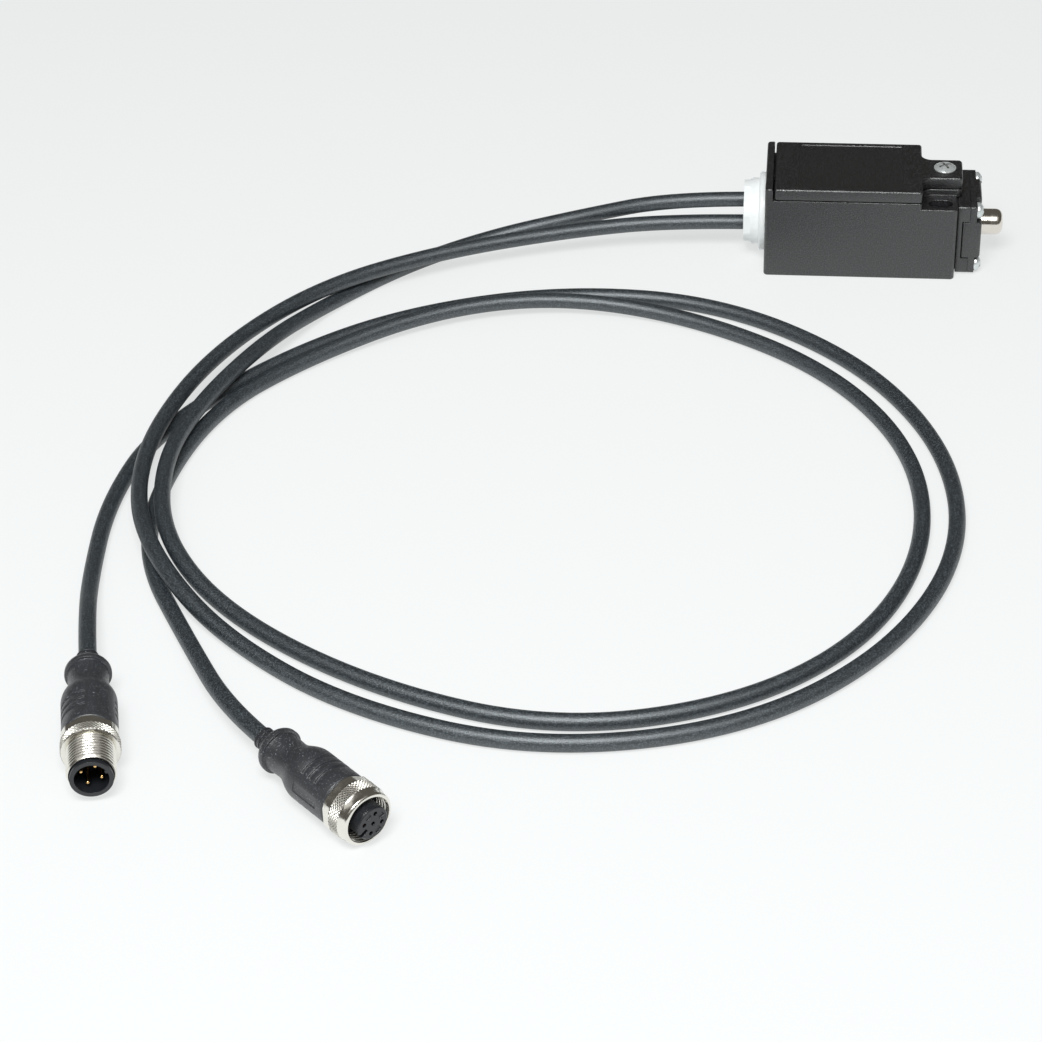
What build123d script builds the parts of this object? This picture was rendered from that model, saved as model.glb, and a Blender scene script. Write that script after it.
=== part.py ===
from build123d import *
import math
import os

# Door contact switch: a moulded housing with a plunger head, and two leads with round screw plugs.
# Millimetres. The origin is the middle of the mounting face, +X points along the plunger, +Z is up.

# Housing
body_length = 56.2
body_width = 30.0
body_height = 29.0
wall = 2.2
floor_thickness = 2.6
corner_radius = 1.2
edge_radius = 0.5
ear_edge_radius = 0.4
rim_edge_radius = 0.3
end_edge_radius = 0.5
cavity_radius = 1.5

# Ears at the head end, with one mounting slot in each
ear_drop = 5.7
ear_length = 10.4
slot_length = 7.0
slot_width = 4.4
slot_spacing = 22.0
slot_to_end = 5.0

# Tongue over the ears, shared by the cover and the rim under it
tongue_width = 11.6
tongue_overhang = 1.4
tongue_root_radius = 3.0
tongue_corner_radius = 1.2
outer_corner_radius = 0.9

# Cover
cover_height = 3.4
cover_roof = 2.0
cover_end_gap = 0.45
cover_edge_radius = 0.7
cover_ledge = 0.8
gasket_thickness = 0.4
gasket_inset = 0.5
field_length = 30.5
field_margin = 2.0
field_depth = 0.3
field_slope = 0.2
field_centre = -3.1
hook_width = 8.0
hook_thickness = 1.2
hook_reach = 1.0
hook_clearance = 0.15

# Screws
cover_screw_radius = 3.25
cover_screw_head = 1.5
cover_screw_sink = 0.2
cover_screw_shank = 1.45
cover_screw_length = 10.0
cover_screw_to_end = 3.8
head_screw_radius = 2.4
head_screw_head = 2.1
head_screw_shank = 1.15
head_screw_grip = 1.4
head_screw_inset_y = 2.4
head_screw_inset_z = 2.25
screw_clearance = 0.05
recess_width = 0.7
recess_depth = 1.0
crown_share = 0.6

# Head
head_width = 23.4
head_margin = 0.6
head_gasket_thickness = 0.3
head_gasket_inset = 0.8
head_base_thickness = 3.6
plate_thickness = 1.9
boss_height = 1.55
boss_gap_y = 1.1
boss_gap_z = 0.6
boss_edge_radius = 0.9
tab_length = 2.0
tab_thickness = 2.1
tab_height = 11.7
tab_clearance = 0.25
head_edge_radius = 0.6

# Plunger, its travel and its spring
plunger_radius = 3.85
plunger_reach = 6.85
plunger_dome = 0.7
plunger_round = 2.0
plunger_travel = 5.0
running_clearance = 0.05
collar_radius = 5.1
collar_thickness = 1.5
collar_gap = 0.3
tunnel_radius = 5.5
bulkhead = 1.8
stem_radius = 1.9
stem_reach = 4.8
spring_wire = 0.6
spring_radius = 3.4
spring_turn_count = 5
spring_sides = 8
spring_seat_gap = 0.05
wiper_thickness = 1.2
wiper_radius = 5.0

# Contact block
block_side_gap = 0.4
block_rise = 9.15
block_shoulder = 4.2
channel_width = 6.4
carriage_width = 6.0
carriage_height = 6.0
carriage_length = 20.0
bridge_thickness = 1.0
bridge_end_gap = 1.2
bridge_height = 3.0
bridge_spacing = 8.5
bridge_offset = 7.0
contact_gap = 0.3
strip_thickness = 0.8
strip_length = 6.0
strip_leg_width = 3.6
strip_depth = 11.0
terminal_screw_radius = 1.8
terminal_screw_head = 1.6
terminal_screw_shank = 1.1
terminal_screw_length = 6.0

# Cable gland
flange_step = 1.9
flange_thickness = 1.9
flange_bevel = 0.5
collar_step = 0.1
collar_length = 2.1
cap_step = 0.2
cap_length = 2.4
cap_lip_width = 2.3
cap_recess = 0.45
cap_recess_angle = 34
cap_recess_count = 6
gland_thread_length = 7.0
gland_wall = 2.3
seal_sink = 0.4
seal_length = 9.0
locknut_wall = 1.1
locknut_clearance = 0.1
locknut_thickness = 3.2
locknut_notch = 2.5
locknut_notch_count = 6
lead_cover = 1.25

# Leads
lead_radius = 2.25
lead_start = 4.0
arc_share = 0.45

# Plugs, along their own axis from the rear of the grip
plug_height = 7.25
plug_straight = 18.0
plug_sleeve_wall = 0.4
plug_sleeve_length = 4.2
plug_hood_radius = 5.8
plug_hood_rear = 3.6
plug_hood_length = 2.9
plug_neck_radius = 4.9
plug_neck_length = 5.2
plug_grip_radius = 6.85
plug_grip_length = 27.3
plug_shoulder_length = 6.5
plug_groove_start = 17.2
plug_groove_width = 1.0
plug_groove_depth = 0.4
plug_groove_pitch = 2.4
plug_groove_angle = 104
plug_groove_count = 3
panel_start = 16.0
panel_length = 8.6
panel_width = 2.8
panel_depth = 0.3
nut_radius = 7.25
nut_flat_radius = 6.9
nut_flat_count = 6
nut_flat_length = 2.5
nut_rear_gap = 0.2
pin_radius = 0.5
pin_circle = 2.6
key_width = 0.9

male_panel_turn = 57
male_nut_band = 2.9
male_thread_radius = 5.95
male_thread_length = 8.6
male_rim = 1.3
male_barrel_radius = 5.2
male_cup_radius = 4.15
male_cup_depth = 8.5
male_pin_inset = 1.6
male_pin_turn = 65
male_snap = 0.4
male_snap_place = 1.2

female_panel_turn = 168
female_nut_band = 3.3
female_nut_collar = 2.6
female_collar_radius = 6.9
female_collar_slope = 0.5
female_nut_bore = 5.6
female_rear_wall = 2.4
female_sleeve_radius = 4.85
female_face_reach = 1.7
female_insert_radius = 4.25
female_pin_turn = 72
female_socket_radius = 0.8
female_socket_hole = 0.55
female_socket_length = 8.0
female_socket_sink = 0.6
face_pocket = 1.5
face_pocket_depth = 0.3
face_pocket_reach = 3.4
face_pocket_count = 3
keyway_depth = 2.2

# Where each plug lies: the rear of its grip and the way it points
male_rear = (-187.3, -223.7, plug_height)
male_heading = -76.8
female_rear = (-136.8, -250.6, plug_height)
female_heading = -43.9

# Places that follow from the dimensions
parting_height = body_height - cover_height - gasket_thickness
ear_height = body_height - ear_drop
head_bottom = head_margin
head_height = ear_height - 2 * head_margin
field_width = body_width - 2 * field_margin
pocket_width = body_width - 2 * (wall + block_side_gap + block_shoulder)
bridge_length = pocket_width - 2 * bridge_end_gap
strip_inner = pocket_width / 2 - strip_leg_width
x_left = -body_length / 2
x_right = body_length / 2
x_cavity = x_left + wall
x_ears = x_right - ear_length
x_tongue = x_right + tongue_overhang
x_bulkhead = x_ears - wall
x_spring_seat = x_bulkhead + bulkhead
x_head = x_right + head_gasket_thickness
x_plate = x_head + head_base_thickness
x_face = x_plate + plate_thickness
x_boss = x_face + boss_height
x_tip = x_boss + plunger_reach
x_stem = x_bulkhead - stem_reach
x_collar = x_plate - collar_gap - collar_thickness
z_axis = head_bottom + head_height / 2
z_cover = parting_height + gasket_thickness
y_slot = slot_spacing / 2
x_slot = x_right - slot_to_end
x_cover_screw = x_right - cover_screw_to_end
x_cap = x_left - flange_thickness - collar_length - cap_length
x_bridge = x_bulkhead - bridge_offset
x_block = x_bridge - bridge_spacing - bridge_thickness / 2 - plunger_travel - contact_gap
z_block = z_axis + block_rise
cavity_top = parting_height - cover_ledge
gland_height = (floor_thickness + cavity_top) / 2
locknut_radius = (cavity_top - floor_thickness) / 2 - locknut_clearance
gland_thread_radius = locknut_radius - locknut_wall
flange_radius = gland_thread_radius + flange_step
collar_outer = gland_thread_radius + collar_step
cap_radius = gland_thread_radius - cap_step
cap_lip = cap_radius - cap_lip_width
gland_bore = gland_thread_radius - gland_wall
lead_pitch = 2 * (gland_bore - lead_radius - lead_cover)
lead_heights = (gland_height + lead_pitch / 2, gland_height - lead_pitch / 2)
bore_radius = plunger_radius + running_clearance


def box(x0, x1, y0, y1, z0, z1):
    """A block between two corners."""
    size = (x1 - x0, y1 - y0, z1 - z0)
    return Pos(x0, y0, z0) * Box(*size, align=(Align.MIN, Align.MIN, Align.MIN))


def rod(x0, x1, y, z, radius):
    """A cylinder along X between two places."""
    bar = Cylinder(radius, x1 - x0, align=(Align.CENTER, Align.CENTER, Align.MIN))
    return Pos(x0, y, z) * Rot(0, 90, 0) * bar


def post(x, y, z0, z1, radius):
    """A cylinder along Z between two heights."""
    return Pos(x, y, z0) * Cylinder(radius, z1 - z0, align=(Align.CENTER, Align.CENTER, Align.MIN))


def turned(outline):
    """A solid turned about X from its (x, radius) outline."""
    return revolve(make_face(Plane.XY * Polyline(*outline, close=True)), Axis.X)


def export(name, shape):
    """Write one sub-part."""
    shape.label = name
    export_step(shape, f"parts/{name}.step")


def top_outline(x_start, start_radius):
    """The plan of the cover and of the rim under it: a rectangle with a tongue over the ears."""
    half = body_width / 2
    tongue = tongue_width / 2
    points = [
        (x_start, -half),
        (x_ears, -half),
        (x_ears, -tongue),
        (x_tongue, -tongue),
        (x_tongue, tongue),
        (x_ears, tongue),
        (x_ears, half),
        (x_start, half),
    ]
    face = make_face(Polyline(*points, close=True))
    radii = {x_start: start_radius, x_tongue: tongue_corner_radius}
    for x, y in points:
        radius = radii.get(x, outer_corner_radius if abs(y) > tongue else tongue_root_radius)
        corner = face.vertices().sort_by_distance(Vertex(x, y, 0))[0]
        face = fillet(corner, radius)
    return face


def plan_block(x0, x1, radius, z0, z1):
    """An upright block with rounded corners, as wide as the housing."""
    outline = RectangleRounded(x1 - x0, body_width, radius)
    return Pos((x0 + x1) / 2, 0, z0) * extrude(outline, z1 - z0)


def top_edges(block):
    """The edges round the top face of a block."""
    return block.faces().sort_by(Axis.Z)[-1].edges()


def housing_base():
    """Lower shell: open box, end wall as high as the cover, ears with slots and a tunnel for the plunger."""
    lower = fillet(top_edges(plan_block(x_left, x_right, corner_radius, 0, ear_height)), ear_edge_radius)
    rim_foot = ear_height - ear_edge_radius
    rim = Pos(0, 0, rim_foot) * extrude(top_outline(x_left, corner_radius), parting_height - rim_foot)
    rim = fillet(top_edges(rim), rim_edge_radius)
    end_wall = plan_block(x_left, x_right, corner_radius, 0, body_height)
    end_wall &= box(x_left, x_cavity, -body_width, body_width, 0, body_height)
    base = lower + rim + fillet(top_edges(end_wall), end_edge_radius)
    foot = base.edges().filter_by(Plane.XY).filter_by_position(Axis.Z, -0.01, 0.01)
    base = fillet(foot, edge_radius)

    half = body_width / 2 - wall
    cavity = RectangleRounded(x_bulkhead - x_cavity, 2 * half, cavity_radius)
    base -= Pos((x_cavity + x_bulkhead) / 2, 0, floor_thickness) * extrude(cavity, body_height)
    ledge = x_cavity + cover_end_gap + wall
    base += box(x_cavity, ledge, -half, half, cavity_top, parting_height)
    base -= rod(x_spring_seat, x_right + 1, 0, z_axis, tunnel_radius)
    base -= rod(x_bulkhead - 1, x_right, 0, z_axis, stem_radius + running_clearance)
    for side in (-1, 1):
        base -= Pos(x_slot, side * y_slot, 0) * extrude(SlotOverall(slot_length, slot_width), body_height)
    screw_end = body_height - cover_screw_sink - cover_screw_length - screw_clearance
    base -= post(x_cover_screw, 0, screw_end, parting_height + 1, cover_screw_shank + screw_clearance)
    for y, z in head_screw_places():
        base -= rod(x_right - head_screw_grip, x_right + 1, y, z, head_screw_shank + screw_clearance)
    base -= rod(x_left - 1, x_cavity + 1, 0, gland_height, gland_thread_radius + screw_clearance)
    base -= cover_hook(hook_clearance)
    return base


def cover_hook(clearance):
    """The tab at the cable end that holds the cover down, or its pocket when given a clearance."""
    low = z_cover + hook_thickness / 2
    reach = x_cavity - hook_reach
    return box(
        reach - clearance,
        x_cavity + cover_end_gap + cover_edge_radius + clearance,
        -hook_width / 2 - clearance,
        hook_width / 2 + clearance,
        low - clearance,
        low + hook_thickness + clearance,
    )


def field_edges(lid):
    """The edges of the field in the top of the cover."""
    return [wire.edges() for wire in lid.faces().sort_by(Axis.Z)[-1].inner_wires()][0]


def cover():
    """Lid with a tongue, held by one screw, with a shallow bare field on top."""
    start = x_cavity + cover_end_gap
    height = body_height - z_cover
    lid = Pos(0, 0, z_cover) * extrude(top_outline(start, outer_corner_radius), height)
    lid = fillet(top_edges(lid), cover_edge_radius)
    inner = RectangleRounded(x_bulkhead - start - wall, body_width - 2 * wall, cavity_radius)
    lid -= Pos((start + wall + x_bulkhead) / 2, 0, z_cover) * extrude(inner, height - cover_roof)
    field = RectangleRounded(field_length, field_width, cover_edge_radius)
    lid -= Pos(field_centre, 0, body_height - field_depth) * extrude(field, 1)
    lid = chamfer(field_edges(lid), field_slope)
    lid -= post(x_cover_screw, 0, z_cover - 1, body_height + 1, cover_screw_shank + screw_clearance)
    seat = body_height - cover_screw_sink
    lid -= post(x_cover_screw, 0, seat, body_height + 1, cover_screw_radius + screw_clearance)
    return lid + cover_hook(0)


def cover_gasket():
    """Flat seal between the rim and the cover."""
    start = x_cavity + cover_end_gap
    ring = offset(top_outline(start, corner_radius), -gasket_inset, kind=Kind.INTERSECTION)
    ring = Pos(0, 0, parting_height) * extrude(ring, gasket_thickness)
    inner = RectangleRounded(x_bulkhead - start - wall, body_width - 2 * wall, cavity_radius)
    ring -= Pos((start + wall + x_bulkhead) / 2, 0, 0) * extrude(inner, body_height)
    hole = cover_screw_shank + screw_clearance
    return ring - post(x_cover_screw, 0, parting_height - 1, z_cover + 1, hole)


def cap_arc(start, rise):
    """An arc from an (offset, height) point up to the axis, part of a sphere centred on the axis."""
    radius = (start[0] ** 2 + rise**2) / (2 * rise)
    top = start[1] + rise
    half = start[0] / 2
    middle = (half, top - radius + math.sqrt(radius**2 - half**2))
    return ThreePointArc(start, middle, (0, top))


def pan_screw(head_radius, head_height, shank, length):
    """A pan head screw with a cross recess, head up on Z and seat at zero."""
    crown = head_height * crown_share
    shoulder = (head_radius, head_height - crown)
    sides = Polyline((0, 0), (head_radius, 0), shoulder)
    profile = make_face(Plane.XZ * (sides + cap_arc(shoulder, crown) + Line((0, head_height), (0, 0))))
    screw = revolve(profile, Axis.Z) + post(0, 0, -length, head_height / 2, shank)
    for turn in (0, 90):
        slot = Box(head_radius * 1.2, recess_width, 2 * recess_depth)
        screw -= Pos(0, 0, head_height) * Rot(0, 0, turn) * slot
    return screw


def cover_screw():
    """Pan head screw through the tongue."""
    head = cover_screw_head + cover_screw_sink
    screw = pan_screw(cover_screw_radius, head, cover_screw_shank, cover_screw_length)
    return Pos(x_cover_screw, 0, body_height - cover_screw_sink) * Rot(0, 0, 30) * screw


def head_screw_places():
    """The (y, z) of the four head screws."""
    return [
        (ys * (head_width / 2 - head_screw_inset_y), z_axis + zs * (head_height / 2 - head_screw_inset_z))
        for ys in (-1, 1)
        for zs in (-1, 1)
    ]


def head_screws():
    """Four pan head screws through the plate and the head into the housing."""
    length = x_face - x_right + head_screw_grip - screw_clearance
    screw = pan_screw(head_screw_radius, head_screw_head, head_screw_shank, length)
    return Compound(
        children=[
            Pos(x_face, y, z) * Rot(0, 90, 0) * Rot(0, 0, 20 + 25 * n) * screw
            for n, (y, z) in enumerate(head_screw_places())
        ]
    )


def head_holes(x0, x1):
    """The four clearance holes of the head screws."""
    holes = [rod(x0 - 1, x1 + 1, y, z, head_screw_shank + screw_clearance) for y, z in head_screw_places()]
    return Compound(children=holes)


def tab_space(clearance):
    """The two side tabs of the plate, or their notches in the head when given a clearance."""
    half = head_width / 2
    low = z_axis - tab_height / 2
    tabs = [
        box(
            x_plate - tab_length - clearance,
            x_plate + clearance,
            *sorted((side * (half - tab_thickness - clearance), side * (half + clearance))),
            low - clearance,
            low + tab_height + clearance,
        )
        for side in (-1, 1)
    ]
    return Compound(children=tabs)


def head_gasket():
    """Flat seal between the housing and the head."""
    half = head_width / 2 - head_gasket_inset
    low = head_bottom + head_gasket_inset
    seal = box(x_right, x_head, -half, half, low, head_bottom + head_height - head_gasket_inset)
    return seal - rod(x_right - 1, x_head + 1, 0, z_axis, tunnel_radius) - head_holes(x_right, x_head)


def head_base():
    """Rear half of the head, with the plunger chamber and notches for the plate's tabs."""
    half = head_width / 2
    base = box(x_head, x_plate, -half, half, head_bottom, head_bottom + head_height)
    base = fillet(base.edges().filter_by(Axis.X), head_edge_radius)
    base -= rod(x_head - 1, x_plate + 1, 0, z_axis, tunnel_radius)
    base -= head_holes(x_head, x_plate)
    for tab in tab_space(tab_clearance).solids():
        base -= tab
    return base


def head_plate():
    """Front half of the head: plate with a raised cross round the plunger and two side tabs."""
    half = head_width / 2
    top = head_bottom + head_height
    plate = box(x_plate, x_face, -half, half, head_bottom, top)
    plate = fillet(plate.edges().filter_by(Axis.X), head_edge_radius)
    arm_z = head_height / 2 - head_screw_inset_z - head_screw_radius - boss_gap_z
    arm_y = half - head_screw_inset_y - head_screw_radius - boss_gap_y
    across = box(x_plate, x_boss, -half, half, z_axis - arm_z, z_axis + arm_z)
    upright = box(x_plate, x_boss, -arm_y, arm_y, head_bottom, top)
    cross = across + upright
    front = cross.faces().sort_by(Axis.X)[-1]
    cross = fillet(front.edges(), boss_edge_radius)
    plate += cross
    for tab in tab_space(0).solids():
        plate += tab
    plate -= rod(x_plate - tab_length - 1, x_boss + 1, 0, z_axis, bore_radius)
    return plate - head_holes(x_plate, x_face)


def plunger():
    """Domed pin with a collar behind the plate and a stem through the bulkhead."""
    reach = x_tip - x_stem
    collar = x_collar - x_stem
    shoulder = (plunger_radius, reach - plunger_dome)
    sides = Polyline(
        (0, 0),
        (stem_radius, 0),
        (stem_radius, collar),
        (collar_radius, collar),
        (collar_radius, collar + collar_thickness),
        (plunger_radius, collar + collar_thickness),
        shoulder,
    )
    profile = make_face(Plane.XZ * (sides + cap_arc(shoulder, plunger_dome) + Line((0, reach), (0, 0))))
    pin = revolve(profile, Axis.Z)
    round_length = 2 * math.pi * plunger_radius
    rims = pin.edges().filter_by(Plane.XY).filter_by(lambda edge: abs(edge.length - round_length) < 0.01)
    rim = rims.sort_by(Axis.Z)[-1]
    return Pos(x_stem, 0, z_axis) * Rot(0, 90, 0) * fillet(rim, plunger_round)


def plunger_wiper():
    """Rubber ring that wipes the plunger, held in the chamber between the collar and the plate."""
    ring = rod(x_plate, x_plate + wiper_thickness, 0, z_axis, wiper_radius)
    return ring - rod(x_plate - 1, x_boss, 0, z_axis, bore_radius)


def return_spring():
    """Compression spring round the stem, from the bulkhead to the collar."""
    length = x_collar - x_spring_seat - spring_wire - 2 * spring_seat_gap
    path = Helix(length / spring_turn_count, length, spring_radius)
    section = Plane(origin=path @ 0, z_dir=path % 0) * RegularPolygon(spring_wire / 2, spring_sides)
    coil = sweep(section, path)
    return Pos(x_spring_seat + spring_wire / 2 + spring_seat_gap, 0, z_axis) * Rot(0, 90, 0) * coil


def bridge_places():
    """Where the two moving bridges lie along X."""
    return [x_bridge, x_bridge - bridge_spacing]


def contact_block():
    """Moulded block with a channel for the carriage and a pocket for the bridges."""
    half = body_width / 2 - wall - block_side_gap
    block = box(x_block, x_bulkhead, -half, half, floor_thickness, z_block)
    block = fillet(block.edges().filter_by(Axis.Z), cavity_radius)
    floor = z_axis - carriage_height / 2
    channel = channel_width / 2
    block -= box(x_block - 1, x_bulkhead + 1, -channel, channel, floor, z_block + 1)
    pocket_end = x_bridge + bridge_thickness / 2 + contact_gap + strip_thickness
    block -= box(x_block - 1, pocket_end, -pocket_width / 2, pocket_width / 2, floor, z_block + 1)
    bore = terminal_screw_shank + screw_clearance
    for x, y in terminal_places():
        block -= post(x, y, z_block - terminal_screw_length, z_block + 1, bore)
    return block


def contact_carriage():
    """Sliding bar on the stem's end that carries the bridges."""
    half = carriage_width / 2
    z0 = z_axis - carriage_height / 2 + running_clearance
    bar = box(x_stem - carriage_length, x_stem, -half, half, z0, z0 + carriage_height)
    for x in bridge_places():
        bar -= box(
            x - bridge_thickness / 2 - running_clearance,
            x + bridge_thickness / 2 + running_clearance,
            -half - 1,
            half + 1,
            z_axis - bridge_height / 2 - running_clearance,
            z_axis + bridge_height / 2 + running_clearance,
        )
    return bar


def contact_bridge(x):
    """Moving strip with a domed tip at each end."""
    strip = Pos(x, 0, z_axis) * Box(bridge_thickness, bridge_length, bridge_height)
    return fillet(strip.edges().filter_by(Axis.X), bridge_height / 4)


def terminal_places():
    """The (x, y) of the four terminal screws."""
    y = (pocket_width / 2 + body_width / 2 - wall - block_side_gap) / 2
    back = bridge_thickness / 2 + contact_gap + strip_thickness
    back += strip_length / 2 - strip_thickness
    return [(x + back, side * y) for x in bridge_places() for side in (-1, 1)]


def terminal(x_screw, y_screw):
    """Bent strip: a leg that faces the bridge and a shelf under the terminal screw."""
    side = 1 if y_screw > 0 else -1
    outer = body_width / 2 - wall - 2 * block_side_gap
    x0 = x_screw - strip_length / 2
    inner_side = sorted((side * strip_inner, side * (pocket_width / 2 - running_clearance)))
    leg = box(x0, x0 + strip_thickness, *inner_side, z_block - strip_depth, z_block + strip_thickness)
    shelf_side = sorted((side * strip_inner, side * outer))
    shelf = box(x0, x0 + strip_length, *shelf_side, z_block, z_block + strip_thickness)
    hole = terminal_screw_shank + screw_clearance
    return leg + shelf - post(x_screw, y_screw, z_block - 1, z_block + strip_thickness + 1, hole)


def terminal_screws():
    """Four wire clamping screws."""
    length = terminal_screw_length - screw_clearance + strip_thickness
    screw = pan_screw(terminal_screw_radius, terminal_screw_head, terminal_screw_shank, length)
    return Compound(children=[Pos(x, y, z_block + strip_thickness) * screw for x, y in terminal_places()])


def gland_body():
    """Threaded gland body with its flange, screwed into the end wall."""
    flange = x_left - flange_thickness
    collar = flange - collar_length
    profile = turned(
        [
            (collar, gland_bore),
            (collar, collar_outer),
            (flange, collar_outer),
            (flange, flange_radius - flange_bevel),
            (flange + flange_bevel, flange_radius),
            (x_left, flange_radius),
            (x_left, gland_thread_radius),
            (x_left + gland_thread_length, gland_thread_radius),
            (x_left + gland_thread_length, gland_bore),
        ]
    )
    return Pos(0, 0, gland_height) * profile


def gland_cap():
    """Clamping cap with six recesses for a wrench."""
    rear = x_cap + cap_length
    ring = rod(x_cap, rear, 0, 0, cap_radius) - rod(x_cap - 1, rear + 1, 0, 0, gland_bore)
    ring += rod(x_cap, x_cap + seal_sink, 0, 0, cap_radius - 1) - rod(x_cap - 1, rear, 0, 0, cap_lip)
    floor = cap_radius - cap_recess
    half = cap_radius * math.tan(math.radians(cap_recess_angle / 2))
    for n in range(cap_recess_count):
        cut = box(x_cap - 1, rear - cap_recess, -half, half, floor, floor + 2)
        ring -= Rot(90 + 360 / cap_recess_count * n, 0, 0) * cut
    return Pos(0, 0, gland_height) * ring


def gland_seal():
    """Rubber insert with one hole for each lead."""
    x0 = x_cap + seal_sink
    seal = rod(x0, x0 + seal_length, 0, gland_height, gland_bore - running_clearance)
    for z in lead_heights:
        seal -= rod(x0 - 1, x0 + seal_length + 1, 0, z, lead_radius + running_clearance)
    return seal


def gland_locknut():
    """Notched ring nut that holds the gland from inside the wall."""
    x1 = x_cavity + locknut_thickness
    bore = gland_thread_radius + screw_clearance
    nut = rod(x_cavity, x1, 0, 0, locknut_radius) - rod(x_cavity - 1, x1 + 1, 0, 0, bore)
    half = locknut_notch / 2
    low = (locknut_radius + gland_thread_radius) / 2
    for n in range(locknut_notch_count):
        notch = box(x_cavity + locknut_thickness / 2, x1 + 1, -half, half, low, locknut_radius + 1)
        nut -= Rot(360 / locknut_notch_count * n, 0, 0) * notch
    return Pos(0, 0, gland_height) * nut


def plug_place(rear, heading):
    """The location of a plug that points along its heading."""
    return Pos(*rear) * Rot(0, 0, heading)


def plug_grip(panel_turn):
    """Moulded grip: lead sleeve and hood behind, a neck, then a round body with grooves and bare panels."""
    length = plug_grip_length
    neck = plug_hood_length + plug_neck_length
    full = neck + plug_shoulder_length
    rim = plug_hood_length * 0.75
    rear = Polyline((0, 0), (0, plug_hood_rear))
    hood = Spline(
        (0, plug_hood_rear),
        (plug_hood_length * 0.4, plug_hood_radius - 0.3),
        (rim, plug_hood_radius),
        tangents=[(0, 1), (1, 0)],
    )
    step = Polyline(
        (rim, plug_hood_radius),
        (plug_hood_length, plug_hood_radius),
        (plug_hood_length, plug_neck_radius + 0.2),
        (neck - 1, plug_neck_radius),
    )
    shoulder = Spline(
        (neck - 1, plug_neck_radius),
        (neck + plug_shoulder_length / 2, (plug_neck_radius + plug_grip_radius) / 2 + 0.2),
        (full, plug_grip_radius),
        tangents=[(1, 0), (1, 0)],
    )
    front = Polyline(
        (full, plug_grip_radius),
        (length - 0.4, plug_grip_radius),
        (length, plug_grip_radius - 0.4),
        (length, 0),
        (0, 0),
    )
    grip = revolve(make_face(rear + hood + step + shoulder + front), Axis.X)
    bore = lead_radius + running_clearance
    sleeve = rod(-plug_sleeve_length, 0, 0, 0, bore + plug_sleeve_wall)
    grip += sleeve - rod(-plug_sleeve_length - 1, 0, 0, 0, bore)
    for side in (0, 180):
        for n in range(plug_groove_count):
            x0 = plug_groove_start + n * plug_groove_pitch
            grip -= Rot(panel_turn + side + 90, 0, 0) * grip_groove(x0)
        panel = box(
            panel_start,
            panel_start + panel_length,
            plug_grip_radius - panel_depth,
            plug_grip_radius + 1,
            -panel_width / 2,
            panel_width / 2,
        )
        grip -= Rot(panel_turn + side, 0, 0) * panel
    return grip


def grip_groove(x0):
    """One groove round part of the grip, with round ends, centred on +Y."""
    outer = plug_grip_radius + 1
    inner = plug_grip_radius - plug_groove_depth
    half = plug_groove_width / 2
    section = Pos(x0 + half, (inner + outer) / 2) * Rectangle(plug_groove_width, outer - inner)
    groove = Rot(-plug_groove_angle / 2, 0, 0) * revolve(section, Axis.X, plug_groove_angle)
    for turn in (-plug_groove_angle / 2, plug_groove_angle / 2):
        end = Pos(x0 + half, inner, 0) * Rot(-90, 0, 0) * Cylinder(
            half, outer - inner, align=(Align.CENTER, Align.CENTER, Align.MIN)
        )
        groove += Rot(turn, 0, 0) * end
    return groove


def nut_blank(x0, band, bore):
    """The rear of a coupling nut: a zone with six flats, then a round gripping band."""
    flats = Plane.YZ * RegularPolygon(nut_flat_radius, nut_flat_count, major_radius=False)
    rear = Pos(x0, 0, 0) * extrude(flats, nut_flat_length)
    rear &= rod(x0, x0 + nut_flat_length, 0, 0, nut_radius)
    grip = rod(x0 + nut_flat_length, x0 + nut_flat_length + band, 0, 0, nut_radius)
    edge = grip.edges().sort_by(Axis.X)[-1]
    grip = chamfer(edge, 0.3)
    return rear + grip - rod(x0 - 1, x0 + nut_flat_length + band + 1, 0, 0, bore)


def male_thread_start():
    """Where the outside thread of the male nut starts along the plug."""
    return plug_grip_length + nut_rear_gap + nut_flat_length + male_nut_band


def male_nut():
    """Coupling nut with an outside thread."""
    x0 = plug_grip_length + nut_rear_gap
    start = male_thread_start()
    end = start + male_thread_length
    bore = male_barrel_radius + running_clearance
    sleeve = rod(start - 1, end, 0, 0, male_thread_radius)
    sleeve = chamfer(sleeve.edges().sort_by(Axis.X)[-1], 0.4)
    nut = nut_blank(x0, male_nut_band, bore) + sleeve - rod(x0 - 1, end + 1, 0, 0, bore)
    snap = x0 + male_snap_place
    groove = rod(snap - running_clearance, snap + 1 + running_clearance, 0, 0, bore + male_snap)
    return nut - groove


def male_front():
    """The place of the male insert's rim along the plug."""
    return male_thread_start() + male_thread_length + male_rim


def male_insert():
    """Contact carrier: a barrel through the nut with a cup for the pins and a key."""
    front = male_front()
    barrel = rod(plug_grip_length, front, 0, 0, male_barrel_radius)
    snap = plug_grip_length + nut_rear_gap + male_snap_place
    barrel += rod(snap, snap + 1, 0, 0, male_barrel_radius + male_snap - running_clearance)
    floor = front - male_cup_depth
    barrel -= rod(floor, front + 1, 0, 0, male_cup_radius)
    key_half = key_width / 2
    key = box(floor, front - 0.6, male_cup_radius - 0.7, male_cup_radius + 0.2, -key_half, key_half)
    return barrel + Rot(male_pin_turn - 45, 0, 0) * key


def pin_turns(first):
    """The four quarter turns of a pin circle."""
    return [first + 90 * n for n in range(4)]


def male_pins():
    """Four round pins that stand on the floor of the cup."""
    front = male_front()
    pin = rod(front - male_cup_depth, front - male_pin_inset, pin_circle, 0, pin_radius)
    pin = fillet(pin.edges().sort_by(Axis.X)[-1], pin_radius * 0.8)
    return Compound(children=[Rot(turn, 0, 0) * pin for turn in pin_turns(male_pin_turn)])


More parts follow.
